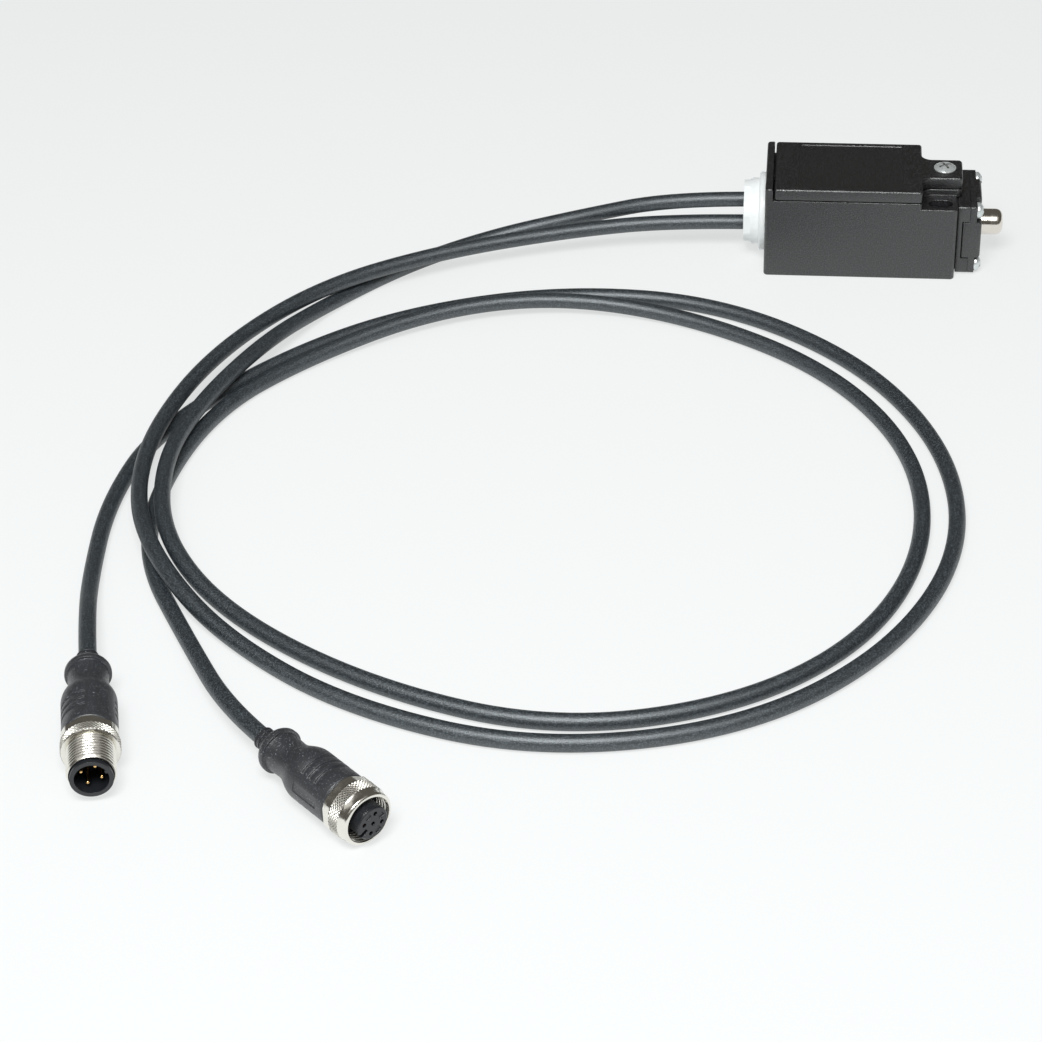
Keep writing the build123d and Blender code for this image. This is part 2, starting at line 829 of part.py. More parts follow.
def female_nut():
    """Coupling nut with an inside thread and a smooth collar, turning on the sleeve of the insert."""
    x0 = plug_grip_length + nut_rear_gap
    band_end = x0 + nut_flat_length + female_nut_band
    front = band_end + female_nut_collar
    collar = turned(
        [
            (band_end - 1, 0),
            (band_end - 1, nut_radius),
            (band_end, nut_radius),
            (band_end + female_collar_slope, female_collar_radius),
            (front, female_collar_radius),
            (front, 0),
        ]
    )
    collar = fillet(collar.edges().sort_by(Axis.X)[-1], 0.7)
    nut = nut_blank(x0, female_nut_band, female_sleeve_radius + running_clearance) + collar
    return nut - rod(x0 + female_rear_wall, front + 1, 0, 0, female_nut_bore)


def female_front():
    """The place of the female insert's face along the plug."""
    nut = nut_rear_gap + nut_flat_length + female_nut_band + female_nut_collar
    return plug_grip_length + nut + female_face_reach


def female_insert():
    """Contact carrier with five sockets, shallow pockets between them and a keyway."""
    x0 = plug_grip_length
    front = female_front()
    back = front - female_socket_length
    collar = x0 + nut_rear_gap + female_rear_wall + 0.15
    insert = rod(x0, collar, 0, 0, female_sleeve_radius)
    insert += rod(collar, collar + 2, 0, 0, female_nut_bore - 0.3)
    insert += rod(collar + 2, front, 0, 0, female_insert_radius)
    insert = chamfer(insert.edges().filter_by(GeomType.CIRCLE).sort_by(Axis.X)[-1], 0.25)
    half = face_pocket / 2
    for n in range(face_pocket_count):
        inner = face_pocket_reach - face_pocket
        pocket = box(front - face_pocket_depth, front + 1, inner, face_pocket_reach, -half, half)
        insert -= Rot(female_pin_turn + 225 + 90 * n, 0, 0) * pocket
    for y, turn in female_sockets():
        insert -= Rot(turn, 0, 0) * rod(back, front + 1, y, 0, female_socket_hole)
        seat = rod(back, front - female_socket_sink, y, 0, female_socket_radius + 0.02)
        insert -= Rot(turn, 0, 0) * seat
    key_half = key_width / 2 + 0.1
    key_floor = female_insert_radius - keyway_depth
    keyway = box(back, front + 1, key_floor, female_insert_radius + 1, -key_half, key_half)
    return insert - Rot(female_pin_turn + 135, 0, 0) * keyway


def female_sockets():
    """The offset and turn of the five sockets."""
    return [(0, 0)] + [(pin_circle, turn) for turn in pin_turns(female_pin_turn)]


def female_contacts():
    """Five socket contacts inside the insert."""
    front = female_front()
    back = front - female_socket_length
    sockets = []
    for y, turn in female_sockets():
        outer = rod(back + 0.02, front - female_socket_sink - 0.02, y, 0, female_socket_radius)
        hole = rod(back + 1, front, y, 0, female_socket_hole)
        sockets.append(Rot(turn, 0, 0) * (outer - hole))
    return Compound(children=sockets)


def corner_radii(points):
    """The largest radius that each corner's shorter run allows."""
    radii = []
    for before, here, after in zip(points, points[1:], points[2:]):
        a = Vector(*here) - Vector(*before)
        b = Vector(*after) - Vector(*here)
        half_turn = math.radians(a.get_angle(b)) / 2
        radii.append(arc_share * min(a.length, b.length) / math.tan(half_turn))
    return radii


def lead(name, points):
    """A round cord along straight runs joined by arcs."""
    radii = corner_radii(points)
    path = FilletPolyline(*points, radius=radii)
    section = Plane(origin=path @ 0, z_dir=path % 0) * Circle(lead_radius)
    tube = sweep(section, path)
    runs = [math.dist(a, b) for a, b in zip(points, points[1:])]
    print(name, "radii", [round(r, 1) for r in radii], "runs", [round(r, 1) for r in runs])
    share = tube.volume / (math.pi * lead_radius**2 * path.length)
    print(name, "length", round(path.length, 1), "volume share", round(share, 6))
    return tube


def plug_approach(rear, heading, back):
    """A point on a plug's axis behind its grip."""
    turn = math.radians(heading)
    return (rear[0] - back * math.cos(turn), rear[1] - back * math.sin(turn), rear[2])


# Routes of the two leads: out of the gland, two wide turns on the table, then the plug.
# One lead's first turn lies over its own second turn at the far left, so it rises to a hump there.
table = lead_radius
over = 3 * lead_radius + 0.45
x_lead = x_left + lead_start
male_route = [
    (x_lead, 0, lead_heights[1]),
    (-54, 0, lead_heights[1]),
    (-88, -5.5, 8),
    (-126, -19.3, over),
    (-158, -41, over),
    (-181.5, -77, over),
    (-192, -117, over),
    (-190.5, -151, over),
    (-179, -179, over),
    (-158, -203, table),
    (-123, -229, table),
    (-76, -242.5, table),
    (-26, -231, table),
    (9, -199, table),
    (27.5, -155, table),
    (24, -108, table),
    (0.5, -65, table),
    (-40, -35.5, table),
    (-86, -31.5, table),
    (-130, -45.5, table),
    (-163.5, -71.5, table),
    (-192.5, -111, table),
    (-199, -146, table),
    (-196.5, -181, table),
    plug_approach(male_rear, male_heading, plug_straight),
    male_rear,
]
female_route = [
    (x_lead, 0, lead_heights[0]),
    (-54, 0, lead_heights[0]),
    (-86, 3, 7.8),
    (-112, -0.5, table),
    (-135, -18.5, table),
    (-156, -43, table),
    (-168.5, -71, over),
    (-181.5, -104, over),
    (-186.3, -134, over),
    (-179.5, -168.5, over),
    (-158.5, -194, table),
    (-118, -221, table),
    (-72, -234.5, table),
    (-27, -222, table),
    (4, -193, table),
    (18.5, -152, table),
    (14.5, -108, table),
    (-9, -69.5, table),
    (-48, -43.5, table),
    (-88, -38, 4.8),
    (-124, -48.5, 4.8),
    (-158, -73, table),
    (-178.5, -100, table),
    (-187, -139, table),
    (-184, -172, table),
    (-166, -206, table),
    plug_approach(female_rear, female_heading, plug_straight),
    female_rear,
]

os.makedirs("parts", exist_ok=True)
export("housing_base", housing_base())
export("cover", cover())
export("cover_gasket", cover_gasket())
export("cover_screw", cover_screw())
export("head_gasket", head_gasket())
export("head_base", head_base())
export("head_plate", head_plate() - plunger_wiper())
export("head_screws", head_screws())
export("plunger", plunger())
export("plunger_wiper", plunger_wiper())
export("return_spring", return_spring())
export("contact_block", contact_block())
export("contact_carriage", contact_carriage())
for number, place in enumerate(bridge_places(), 1):
    export(f"contact_bridge_{number}", contact_bridge(place))
for number, place in enumerate(terminal_places(), 1):
    export(f"terminal_{number}", terminal(*place))
export("terminal_screws", terminal_screws())
export("gland_body", gland_body())
export("gland_cap", gland_cap())
export("gland_seal", gland_seal())
export("gland_locknut", gland_locknut())
male_place = plug_place(male_rear, male_heading)
export("male_grip", male_place * plug_grip(male_panel_turn))
export("male_nut", male_place * male_nut())
export("male_insert", male_place * male_insert())
export("male_pins", male_place * male_pins())
female_place = plug_place(female_rear, female_heading)
export("female_grip", female_place * plug_grip(female_panel_turn))
export("female_nut", female_place * female_nut())
export("female_insert", female_place * female_insert())
export("female_contacts", female_place * female_contacts())
export("lead_male", lead("lead_male", male_route))
export("lead_female", lead("lead_female", female_route))
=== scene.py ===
# Door contact switch: a moulded housing with a plunger head, and two leads with round screw plugs.
# The file follows the switch as it is put together, after the camera, the table and the light.
import math

import bmesh
import bpy
from mathutils import Matrix, Vector


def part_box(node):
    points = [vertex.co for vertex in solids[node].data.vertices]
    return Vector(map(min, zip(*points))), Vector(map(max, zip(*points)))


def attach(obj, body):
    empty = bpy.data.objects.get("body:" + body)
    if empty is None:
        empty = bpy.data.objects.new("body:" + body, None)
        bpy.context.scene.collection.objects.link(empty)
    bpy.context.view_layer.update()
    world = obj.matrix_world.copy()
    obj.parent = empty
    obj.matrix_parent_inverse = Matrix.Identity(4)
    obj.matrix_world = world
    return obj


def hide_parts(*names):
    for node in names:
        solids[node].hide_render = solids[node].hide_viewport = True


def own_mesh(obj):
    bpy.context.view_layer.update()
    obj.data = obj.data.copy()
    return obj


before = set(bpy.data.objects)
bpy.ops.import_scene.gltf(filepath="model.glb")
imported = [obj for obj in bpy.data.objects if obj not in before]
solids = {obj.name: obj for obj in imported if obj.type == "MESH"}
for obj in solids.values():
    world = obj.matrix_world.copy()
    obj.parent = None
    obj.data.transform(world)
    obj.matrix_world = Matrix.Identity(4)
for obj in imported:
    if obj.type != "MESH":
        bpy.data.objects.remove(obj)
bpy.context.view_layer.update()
scene = bpy.context.scene
scene.view_settings.view_transform = "Standard"

# Camera: a long lens above the near side of the table, looking down at about 35 degrees and turned
# a little to the left, as the photograph was taken.
camera = bpy.data.objects.new("camera", bpy.data.cameras.new("camera"))
scene.collection.objects.link(camera)
scene.camera = camera
camera.data.sensor_width = 36
camera.data.lens = 103.905
turned_left, tipped_down, rolled = 0.112053, 0.614609, -0.031975
camera_turn = (
    Matrix.Rotation(turned_left, 4, "Z")
    @ Matrix.Rotation(math.pi / 2 - tipped_down, 4, "X")
    @ Matrix.Rotation(rolled, 4, "Z")
)
camera.location = (-0.015686, -0.790907, 0.458467)
camera.rotation_euler = camera_turn.to_euler()
camera.data.clip_start = 0.01

# Table and light: a pale light table under a softbox and a large weak white panel, in a dim room, so that
# dark plastic keeps its edges and the plated metal shows the pale table and the dark room.
table_mesh = bpy.data.meshes.new("table")
sheet = bmesh.new()
bmesh.ops.create_grid(sheet, x_segments=1, y_segments=1, size=6)
sheet.to_mesh(table_mesh)
sheet.free()
table = bpy.data.objects.new("table", table_mesh)
scene.collection.objects.link(table)
table_skin = bpy.data.materials.new("pale table")
table_skin.use_nodes = True
skin_nodes, skin_link = table_skin.node_tree.nodes, table_skin.node_tree.links.new
skin_nodes.remove(skin_nodes["Principled BSDF"])
# The table glows for camera and glossy rays, and that glow is painted paler near the camera and greyer far
# off: painted light.
near_tone, far_tone = (0.92, 0.935, 0.932, 1), (0.855, 0.87, 0.86, 1)
near_end, far_end = -0.3, 0.35
glow_share = 0.72
matt = skin_nodes.new("ShaderNodeBsdfDiffuse")
matt.inputs["Color"].default_value = (0.86, 0.875, 0.875, 1)
glow = skin_nodes.new("ShaderNodeEmission")
rays = skin_nodes.new("ShaderNodeLightPath")
seen = skin_nodes.new("ShaderNodeMath")
seen.operation = "MAXIMUM"
share = skin_nodes.new("ShaderNodeMath")
share.operation = "MULTIPLY"
share.inputs[1].default_value = glow_share
blend = skin_nodes.new("ShaderNodeMixShader")
where = skin_nodes.new("ShaderNodeTexCoord")
split = skin_nodes.new("ShaderNodeSeparateXYZ")
fade = skin_nodes.new("ShaderNodeMapRange")
fade.inputs["From Min"].default_value = near_end
fade.inputs["From Max"].default_value = far_end
tone = skin_nodes.new("ShaderNodeMix")
tone.data_type = "RGBA"
tone.inputs["A"].default_value = near_tone
tone.inputs["B"].default_value = far_tone
skin_link(where.outputs["Object"], split.inputs["Vector"])
skin_link(split.outputs["Y"], fade.inputs["Value"])
skin_link(fade.outputs["Result"], tone.inputs["Factor"])
skin_link(tone.outputs["Result"], glow.inputs["Color"])
skin_link(rays.outputs["Is Camera Ray"], seen.inputs[0])
skin_link(rays.outputs["Is Glossy Ray"], seen.inputs[1])
skin_link(seen.outputs["Value"], share.inputs[0])
skin_link(share.outputs["Value"], blend.inputs["Fac"])
skin_link(matt.outputs["BSDF"], blend.inputs[1])
skin_link(glow.outputs["Emission"], blend.inputs[2])
skin_link(blend.outputs["Shader"], skin_nodes["Material Output"].inputs["Surface"])
table_mesh.materials.append(table_skin)

aim = Vector((-0.085, -0.11, 0.005))


def soft_lamp(name, width, depth, power, colour, distance, direction):
    """A rectangular lamp at a distance from the middle of the leads, turned towards it."""
    lamp = bpy.data.objects.new(name, bpy.data.lights.new(name, "AREA"))
    scene.collection.objects.link(lamp)
    lamp.data.shape = "RECTANGLE"
    lamp.data.size = width
    lamp.data.size_y = depth
    lamp.data.energy = power
    lamp.data.color = colour
    lamp.location = aim + distance * Vector(direction).normalized()
    lamp.rotation_euler = (aim - lamp.location).to_track_quat("-Z", "Y").to_euler()


soft_lamp(
    "softbox",
    width=0.5,
    depth=0.34,
    power=11,
    colour=(0.97, 0.99, 1.0),
    distance=1.1,
    direction=(-0.03, -0.56, 0.83),
)
soft_lamp(
    "white panel",
    width=2.2,
    depth=0.9,
    power=3.4,
    colour=(1.0, 0.985, 0.96),
    distance=1.2,
    direction=(-0.03, -0.5, 0.87),
)

room = bpy.data.worlds.new("room")
scene.world = room
room.use_nodes = True
room_nodes, room_link = room.node_tree.nodes, room.node_tree.links.new
ambient = room_nodes["Background"]
ambient.inputs["Color"].default_value = (0.24, 0.245, 0.25, 1)
backdrop = room_nodes.new("ShaderNodeBackground")
backdrop.inputs["Color"].default_value = (0.86, 0.875, 0.87, 1)
reflected = room_nodes.new("ShaderNodeBackground")
reflected.inputs["Color"].default_value = (0.1, 0.095, 0.085, 1)
room_rays = room_nodes.new("ShaderNodeLightPath")
with_reflection = room_nodes.new("ShaderNodeMixShader")
with_backdrop = room_nodes.new("ShaderNodeMixShader")
room_link(room_rays.outputs["Is Glossy Ray"], with_reflection.inputs["Fac"])
room_link(ambient.outputs["Background"], with_reflection.inputs[1])
room_link(reflected.outputs["Background"], with_reflection.inputs[2])
room_link(room_rays.outputs["Is Camera Ray"], with_backdrop.inputs["Fac"])
room_link(with_reflection.outputs["Shader"], with_backdrop.inputs[1])
room_link(backdrop.outputs["Background"], with_backdrop.inputs[2])
room_link(with_backdrop.outputs["Shader"], room_nodes["World Output"].inputs["Surface"])

# Housing and cover: black glass-filled plastic from a mould with a fine even grain. The moulded edges are
# rounded a little, so they catch the light.
weld = 1e-6
corner_angle, shading_angle = math.radians(35), math.radians(32)


def finish(name, colour, roughness, metallic=0.0):
    """A new material with its shader, ready for the grain or wear of one piece."""
    material = bpy.data.materials.new(name)
    material.use_nodes = True
    shader = material.node_tree.nodes["Principled BSDF"]
    shader.inputs["Base Color"].default_value = (*colour, 1)
    shader.inputs["Roughness"].default_value = roughness
    shader.inputs["Metallic"].default_value = metallic
    return material, shader


def noise_over(material, scale, detail=3.0, stretch=(1, 1, 1)):
    """Noise in the piece's own place, in features per metre, stretched along its axes."""
    nodes, link = material.node_tree.nodes, material.node_tree.links.new
    place = nodes.new("ShaderNodeTexCoord")
    mapping = nodes.new("ShaderNodeMapping")
    mapping.inputs["Scale"].default_value = stretch
    noise = nodes.new("ShaderNodeTexNoise")
    noise.inputs["Scale"].default_value = scale
    noise.inputs["Detail"].default_value = detail
    link(place.outputs["Object"], mapping.inputs["Vector"])
    link(mapping.outputs["Vector"], noise.inputs["Vector"])
    return noise.outputs["Fac"]


def raise_grain(material, shader, height, depth, rounded=0):
    """Bumps of a depth in metres, over edges that a mould or tool has rounded by a small radius."""
    nodes, link = material.node_tree.nodes, material.node_tree.links.new
    bump = nodes.new("ShaderNodeBump")
    bump.inputs["Distance"].default_value = depth
    link(height, bump.inputs["Height"])
    if rounded:
        edge = nodes.new("ShaderNodeBevel")
        edge.samples = 6
        edge.inputs["Radius"].default_value = rounded
        link(edge.outputs["Normal"], bump.inputs["Normal"])
    link(bump.outputs["Normal"], shader.inputs["Normal"])


def shade_between(material, socket, fac, low, high, start=0.35, end=0.65):
    """Run a shader's socket between two colours, or two numbers, along a noise or another value."""
    nodes, link = material.node_tree.nodes, material.node_tree.links.new
    ramp = nodes.new("ShaderNodeValToRGB")
    pair = [value if isinstance(value, tuple) else (value, value, value) for value in (low, high)]
    for stop, place, colour in zip(ramp.color_ramp.elements, (start, end), pair):
        stop.position = place
        stop.color = (*colour, 1)
    link(fac, ramp.inputs["Fac"])
    link(ramp.outputs["Color"], socket)


def stand(shape, name, material, slot, body, *nodes):
    """Turn a finished shape into a piece that stands for its nodes."""
    mesh = bpy.data.meshes.new(name)
    shape.to_mesh(mesh)
    shape.free()
    for face in mesh.polygons:
        face.use_smooth = True
    mesh.set_sharp_from_angle(angle=shading_angle)
    mesh.materials.append(material)
    piece = bpy.data.objects.new(name, mesh)
    scene.collection.objects.link(piece)
    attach(piece, body)
    if nodes:
        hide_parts(*nodes)
    return piece


def soften(node, name, material, slot, width):
    """A copy of a node of the housing's body with its sharp edges rounded, in the node's place."""
    shape = bmesh.new()
    shape.from_mesh(solids[node].data)
    bmesh.ops.remove_doubles(shape, verts=shape.verts, dist=weld)
    bmesh.ops.dissolve_limit(
        shape, angle_limit=math.radians(1), verts=shape.verts, edges=shape.edges, delimit={"NORMAL"}
    )
    sharp = [
        edge for edge in shape.edges if len(edge.link_faces) == 2 and edge.calc_face_angle(0) > corner_angle
    ]
    bmesh.ops.bevel(
        shape,
        geom=sharp,
        offset=width,
        offset_type="OFFSET",
        affect="EDGES",
        segments=2,
        profile=0.5,
        material=-1,
        clamp_overlap=True,
    )
    stand(shape, name, material, slot, "housing", node)


moulded, moulded_shader = finish("black moulded plastic", (0.02, 0.02, 0.021), roughness=0.36)
moulded_shader.inputs["Specular IOR Level"].default_value = 1.0
moulded_shader.inputs["IOR"].default_value = 1.56
moulded_colour = moulded_shader.inputs["Base Color"]
moulded_grain = noise_over(moulded, scale=2400)
moulded_dark, moulded_pale = (0.001, 0.001, 0.0015), (0.03, 0.03, 0.034)
shade_between(moulded, moulded_colour, moulded_grain, moulded_dark, moulded_pale, start=0.44, end=0.66)
raise_grain(moulded, moulded_shader, moulded_grain, depth=0.00012, rounded=0.00035)
soften("housing_base", "housing_shell", moulded, "housing", width=0.00022)
soften("cover", "housing_cover", moulded, "housing", width=0.00018)

# Seals: black rubber, cut flat from sheet under the cover and behind the head, and a ring that wipes the
# plunger. The screws of the cover and the head press them tight.


def grained(name, colour, roughness, grain, depth, metallic=0.0):
    """A plain finish with an even grain, of some features per metre and a depth in metres."""
    material, shader = finish(name, colour, roughness, metallic)
    raise_grain(material, shader, noise_over(material, grain), depth)
    return material


def dress(material, *names):
    """Give CAD nodes their material."""
    for name in names:
        for place in solids[name].material_slots:
            place.material = material


seal_rubber = grained("black seal rubber", (0.02, 0.02, 0.02), roughness=0.7, grain=1500, depth=0.00003)
dress(seal_rubber, "cover_gasket", "head_gasket", "plunger_wiper")

# Contacts: a pale moulded block, a red moulded carriage that the plunger pushes, and stamped brass strips
# and bridges. The strips lie on the block under the screws that clamp the wires.
block_plastic = grained("pale contact block", (0.6, 0.58, 0.52), roughness=0.45, grain=2000, depth=0.00002)
dress(block_plastic, "contact_block")
carriage_plastic = grained("red carriage", (0.4, 0.03, 0.02), roughness=0.4, grain=2000, depth=0.00002)
dress(carriage_plastic, "contact_carriage")
contact_brass = grained(
    "contact brass", (0.72, 0.5, 0.22), roughness=0.28, grain=2000, depth=0.000008, metallic=1.0
)
dress(contact_brass, "contact_bridge_1", "contact_bridge_2")
dress(contact_brass, "terminal_1", "terminal_2", "terminal_3", "terminal_4")

# Return spring: round steel wire in five turns, set over the plunger's stem between the bulkhead and the
# collar. Its turns close up towards the bulkhead as the plunger goes in.
spring_wire = grained(
    "spring wire", (0.55, 0.55, 0.53), roughness=0.25, grain=2500, depth=0.000008, metallic=1.0
)
spring_turns, wire_radius, wire_sides = 5, 0.0003, 12
spring_steps = 32 * spring_turns
spring_low, spring_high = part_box("return_spring")
spring_length = spring_high.x - spring_low.x
spring_axis = Vector((0, 0, (spring_low.z + spring_high.z) / 2))
wire_start = Matrix.Translation((spring_low.x + wire_radius, 0, spring_high.z - wire_radius))
spring = bmesh.new()
bmesh.ops.create_circle(
    spring,
    cap_ends=False,
    segments=wire_sides,
    radius=wire_radius,
    matrix=wire_start @ Matrix.Rotation(math.radians(90), 4, "X"),
)
spring_ends = spring.edges[:]
wound = bmesh.ops.spin(
    spring,
    geom=spring.verts[:] + spring.edges[:],
    cent=spring_axis,
    axis=(1, 0, 0),
    dvec=((spring_length - 2 * wire_radius) / spring_steps, 0, 0),
    angle=2 * math.pi * spring_turns,
    steps=spring_steps,
)
spring_ends += [part for part in wound["geom_last"] if isinstance(part, bmesh.types.BMEdge)]
bmesh.ops.holes_fill(spring, edges=spring_ends, sides=wire_sides)
bmesh.ops.recalc_face_normals(spring, faces=spring.faces)
coil = stand(spring, "spring_coil", spring_wire, "spring_steel", "housing", "return_spring")
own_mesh(coil)

# Plunger: a domed pin with its collar and stem, turned from one steel bar and polished, with fine rings
# left by the tool. The head holds it by the collar.
polished, polished_shader = finish("polished steel", (0.8, 0.76, 0.7), roughness=0.16, metallic=1.0)
polish_rings = noise_over(polished, scale=40, detail=2, stretch=(60, 1, 1))
shade_between(polished, polished_shader.inputs["Roughness"], polish_rings, 0.12, 0.24)
raise_grain(polished, polished_shader, polish_rings, depth=0.000001)
dress(polished, "plunger")

# Head: the same plastic as the housing, moulded in two halves, with a raised cross round the plunger.
# Four screws hold both halves to the housing.
soften("head_base", "head_rear", moulded, "head", width=0.00018)
soften("head_plate", "head_front", moulded, "head", width=0.00018)

# Screws: cold headed steel with a cross recess and a slightly blue, satin zinc plating. One holds the
# cover by its tongue, four hold the head, and four clamp the wires inside.
zinc, zinc_shader = finish("zinc plated steel", (0.7, 0.76, 0.79), roughness=0.34, metallic=0.62)
# The plating is painted darker in the cross recess and other hollows, by ambient occlusion: painted shade.
recess_shade = zinc.node_tree.nodes.new("ShaderNodeAmbientOcclusion")
recess_shade.inputs["Distance"].default_value = 0.0012
zinc_recess_shade, zinc_unshaded = (0.22, 0.22, 0.2), (0.74, 0.78, 0.78)
zinc_colour = zinc_shader.inputs["Base Color"]
shade_between(zinc, zinc_colour, recess_shade.outputs["AO"], zinc_recess_shade, zinc_unshaded, start=0.45, end=0.9)
zinc_wear = noise_over(zinc, scale=900)
shade_between(zinc, zinc_shader.inputs["Roughness"], zinc_wear, 0.26, 0.42)
raise_grain(zinc, zinc_shader, zinc_wear, depth=0.000006, rounded=0.00015)
soften("cover_screw", "tongue_screw", zinc, "screw_steel", width=0.00008)
soften("head_screws", "plate_screws", zinc, "screw_steel", width=0.00008)
dress(zinc, "terminal_screws")

# Gland: pale grey nylon, a flange against the housing, a ring and a cap with six recesses, and a rubber
# insert with a hole for each lead.
nylon, nylon_shader = finish("pale nylon", (0.86, 0.885, 0.875), roughness=0.38)
nylon_low, nylon_high = (0.84, 0.87, 0.86), (0.89, 0.91, 0.9)
shade_between(nylon, nylon_shader.inputs["Base Color"], noise_over(nylon, scale=250), nylon_low, nylon_high)
raise_grain(nylon, nylon_shader, noise_over(nylon, scale=1400), depth=0.00002)
dress(nylon, "gland_body", "gland_cap", "gland_locknut")
grey_rubber = grained("grey seal rubber", (0.1, 0.105, 0.11), roughness=0.6, grain=1500, depth=0.00003)
dress(grey_rubber, "gland_seal")

# Leads: two round cords with a matt dark grey jacket, one from each hole of the gland. They lie on the
# table in two wide turns, cross at the far left, and end in the rear of the plugs.
lead_radius = 0.00225
upper_hole, lower_hole = 0.0174, 0.0096
on_table, over, plug_height = 0.00225, 0.0072, 0.00725
male_route = [
    (-0.0241, 0, lower_hole),
    (-0.054, 0, lower_hole),
    (-0.088, -0.0055, 0.008),
    (-0.126, -0.0193, over),
    (-0.158, -0.041, over),
    (-0.1815, -0.077, over),
    (-0.192, -0.117, over),
    (-0.1905, -0.151, over),
    (-0.179, -0.179, over),
    (-0.158, -0.203, on_table),
    (-0.123, -0.229, on_table),
    (-0.076, -0.2425, on_table),
    (-0.026, -0.231, on_table),
    (0.009, -0.199, on_table),
    (0.0275, -0.155, on_table),
    (0.024, -0.108, on_table),
    (0.0005, -0.065, on_table),
    (-0.04, -0.0355, on_table),
    (-0.086, -0.0315, on_table),
    (-0.13, -0.0455, on_table),
    (-0.1635, -0.0715, on_table),
    (-0.1925, -0.111, on_table),
    (-0.199, -0.146, on_table),
    (-0.1965, -0.181, on_table),
    (-0.19141, -0.20618, plug_height),
    (-0.1873, -0.2237, plug_height),
]
female_route = [
    (-0.0241, 0, upper_hole),
    (-0.054, 0, upper_hole),
    (-0.086, 0.003, 0.0078),
    (-0.112, -0.0005, on_table),
    (-0.135, -0.0185, on_table),
    (-0.156, -0.043, on_table),
    (-0.1685, -0.071, over),
    (-0.1815, -0.104, over),
    (-0.1863, -0.134, over),
    (-0.1795, -0.1685, over),
    (-0.1585, -0.194, on_table),
    (-0.118, -0.221, on_table),
    (-0.072, -0.2345, on_table),
    (-0.027, -0.222, on_table),
    (0.004, -0.193, on_table),
    (0.0185, -0.152, on_table),
    (0.0145, -0.108, on_table),
    (-0.009, -0.0695, on_table),
    (-0.048, -0.0435, on_table),
    (-0.088, -0.038, 0.0048),
    (-0.124, -0.0485, 0.0048),
    (-0.158, -0.073, on_table),
    (-0.1785, -0.1, on_table),
    (-0.187, -0.139, on_table),
    (-0.184, -0.172, on_table),
    (-0.166, -0.206, on_table),
    (-0.14977, -0.23812, plug_height),
    (-0.1368, -0.2506, plug_height),
]

jacket, jacket_shader = finish("lead jacket", (0.04, 0.046, 0.052), roughness=0.46)
jacket_shader.inputs["Specular IOR Level"].default_value = 1.0
jacket_shader.inputs["IOR"].default_value = 1.62
jacket_shader.inputs["Specular Tint"].default_value = (0.93, 0.98, 1.0, 1)
jacket_colour = jacket_shader.inputs["Base Color"]
jacket_grain = noise_over(jacket, scale=2600, detail=4)
jacket_dark, jacket_pale = (0.006, 0.009, 0.012), (0.08, 0.1, 0.115)
shade_between(jacket, jacket_colour, jacket_grain, jacket_dark, jacket_pale, start=0.46, end=0.72)
raise_grain(jacket, jacket_shader, jacket_grain, depth=0.0001)


def lay_lead(name, route):
    """One smooth round cord along its route."""
    line = bpy.data.curves.new(name, "CURVE")
    line.dimensions = "3D"
    line.resolution_u = 14
    line.bevel_depth = lead_radius
    line.bevel_resolution = 6
    line.use_fill_caps = True
    spline = line.splines.new("NURBS")
    spline.points.add(len(route) - 1)
    for point, place in zip(spline.points, route):
        point.co = (*place, 1)
    spline.order_u = 3
    spline.use_endpoint_u = True
    cord = bpy.data.objects.new(name, line)
    scene.collection.objects.link(cord)
    line.materials.append(jacket)
    return cord


male_cord = lay_lead("cord_male", male_route)
female_cord = lay_lead("cord_female", female_route)
for cord, node in ((male_cord, "lead_male"), (female_cord, "lead_female")):
    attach(cord, "housing")
    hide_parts(node)

# Plug grips: soft black plastic with finger bars, moulded in one shot over the end of the lead and the
# rear of the contact carrier.
soft_black, soft_shader = finish("soft black grip", (0.03, 0.032, 0.035), roughness=0.4)
soft_shader.inputs["Specular IOR Level"].default_value = 0.9
soft_grain = noise_over(soft_black, scale=2500, detail=5)
soft_dark, soft_pale = (0.027, 0.029, 0.033), (0.4, 0.43, 0.46)
shade_between(soft_black, soft_shader.inputs["Base Color"], soft_grain, soft_dark, soft_pale, 0.6, 0.85)
raise_grain(soft_black, soft_shader, soft_grain, depth=0.00008, rounded=0.00025)
for plug in ("male", "female"):
    soften(plug + "_grip", plug + "_grip_moulded", soft_black, "grip", width=0.0001)

# Rings on the sleeve: behind each grip its sleeve has two fine raised rings of the same soft black
# plastic, moulded with it, where the lead comes out.
turn_steps = 96
male_heading, female_heading = -76.8, -43.9
sleeve_radius, ring_rise, ring_width = 0.00262, 0.00022, 0.0003
ring_places = (-0.0041, -0.0028)


def lathe(shape, outline):
    """Turn an outline of (x, radius) points about X."""
    points = [shape.verts.new((x, radius, 0)) for x, radius in outline]
    edges = [shape.edges.new(pair) for pair in zip(points, points[1:])]
    bmesh.ops.spin(
        shape,
        geom=points + edges,
        cent=(0, 0, 0),
        axis=(1, 0, 0),
        angle=2 * math.pi,
        steps=turn_steps,
        use_merge=True,
    )


def in_line(shape, rear, heading):
    """Move a shape turned about X to a plug that starts at a point and points along a heading."""
    place = Matrix.Translation(rear) @ Matrix.Rotation(math.radians(heading), 4, "Z")
    bmesh.ops.transform(shape, matrix=place, verts=shape.verts)


for plug, rear, heading in (
    ("male", male_route[-1], male_heading),
    ("female", female_route[-1], female_heading),
):
    rings = bmesh.new()
    ring_radius = sleeve_radius + ring_rise
    for start in ring_places:
        end = start + ring_width
        ring = [(start, sleeve_radius), (start, ring_radius), (end, ring_radius), (end, sleeve_radius)]
        lathe(rings, [*ring, ring[0]])
    bmesh.ops.remove_doubles(rings, verts=rings.verts, dist=weld)
    bmesh.ops.recalc_face_normals(rings, faces=rings.faces)
    in_line(rings, rear, heading)
    stand(rings, plug + "_sleeve_rings", soft_black, "grip", "housing")

